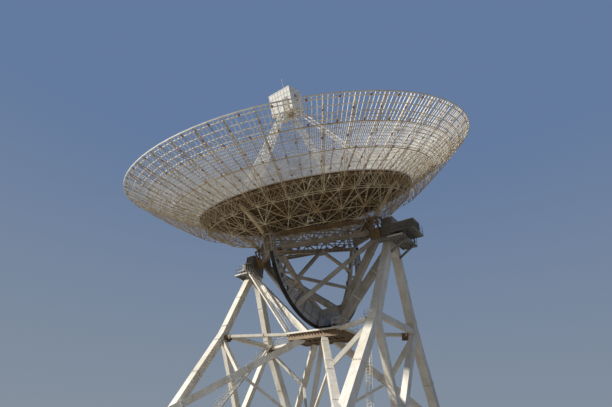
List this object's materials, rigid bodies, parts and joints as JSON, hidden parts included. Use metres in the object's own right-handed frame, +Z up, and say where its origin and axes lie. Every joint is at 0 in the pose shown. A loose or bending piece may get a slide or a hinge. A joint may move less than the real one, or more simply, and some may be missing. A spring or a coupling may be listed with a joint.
{
  "type": "steerable radio telescope dish on a rotating mount, scale model at 1:2",
  "caption": "Steerable radio telescope at half size: mesh-rimmed dish with feed cabin on four legs, elevation wheel and a braced frame on wheels that turns on a round track.",
  "frame": {"origin": "on the ground at the azimuth axis, in the middle of the pedestal's underside", "axes": "+Z up along the azimuth axis, +X along the elevation axis, and the dish tips towards -Y"},
  "size_m": [24.9998, 23.1312, 25.7108],
  "materials": {
    "cream_paint": "weathered satin paint with rust runs",
    "tan_paint": "faded tan paint, rusty at the joints",
    "grey_paint": "weathered satin grey paint",
    "dark_steel": "greased and painted dark steel",
    "reflector_metal": "matt white on top, dark and dirty underneath",
    "rail_steel": "rolled rail, bright on the running face",
    "concrete": "cast concrete"
  },
  "bodies": {
    "track": {"foundation_ring": "concrete", "azimuth_rail": "rail_steel", "pintle_pedestal": "concrete"},
    "alidade": {"bogie_near_left": "grey_paint", "bogie_near_right": "grey_paint", "bogie_far_left": "grey_paint", "bogie_far_right": "grey_paint", "leg_near_left": "cream_paint", "leg_near_right": "cream_paint", "leg_far_left": "cream_paint", "leg_far_right": "cream_paint", "bearing_housing_left": "grey_paint", "bearing_housing_right": "grey_paint", "side_truss_left": "cream_paint", "side_truss_right": "cream_paint", "sill_left": "cream_paint", "sill_right": "cream_paint", "sill_near": "cream_paint", "sill_far": "cream_paint", "pintle_hub": "cream_paint", "drive_platform": "cream_paint", "platform_strut_near_left": "cream_paint", "platform_strut_near_right": "cream_paint", "platform_strut_far_left": "cream_paint", "platform_strut_far_right": "cream_paint", "v_strut_left": "cream_paint", "v_strut_right": "cream_paint", "elevation_drive": "dark_steel", "bearing_platform_left": "grey_paint", "bearing_platform_right": "grey_paint", "stair_lower": "cream_paint", "stair_upper": "cream_paint", "caged_ladder": "cream_paint"},
    "dish": {"elevation_wheel": "grey_paint", "wheel_rack": "dark_steel", "cradle_left": "tan_paint", "cradle_right": "tan_paint", "wheel_stay_left": "grey_paint", "wheel_stay_right": "grey_paint", "panel_bowl": "reflector_metal", "back_frame_far_right": "tan_paint", "back_frame_far_left": "tan_paint", "back_frame_near_left": "tan_paint", "back_frame_near_right": "tan_paint", "mesh_sector_1": "reflector_metal", "mesh_sector_2": "reflector_metal", "mesh_sector_3": "reflector_metal", "mesh_sector_4": "reflector_metal", "mesh_sector_5": "reflector_metal", "mesh_sector_6": "reflector_metal", "mesh_sector_7": "reflector_metal", "mesh_sector_8": "reflector_metal", "feed_cabin": "cream_paint", "feed_leg_right": "cream_paint", "feed_leg_far": "cream_paint", "feed_leg_left": "cream_paint", "feed_leg_near": "cream_paint"}
  },
  "joints": [
    {"name": "azimuth_turn", "type": "hinge", "parent": "track", "child": "alidade", "pos_m": [0, 0, 0.36], "axis": [0, 0, 1], "range_deg": [-270, 270]},
    {"name": "elevation_tip", "type": "hinge", "parent": "alidade", "child": "dish", "pos_m": [0, 0, 12.4], "axis": [1, 0, 0], "range_deg": [-22.5, 59.5]}
  ]
}
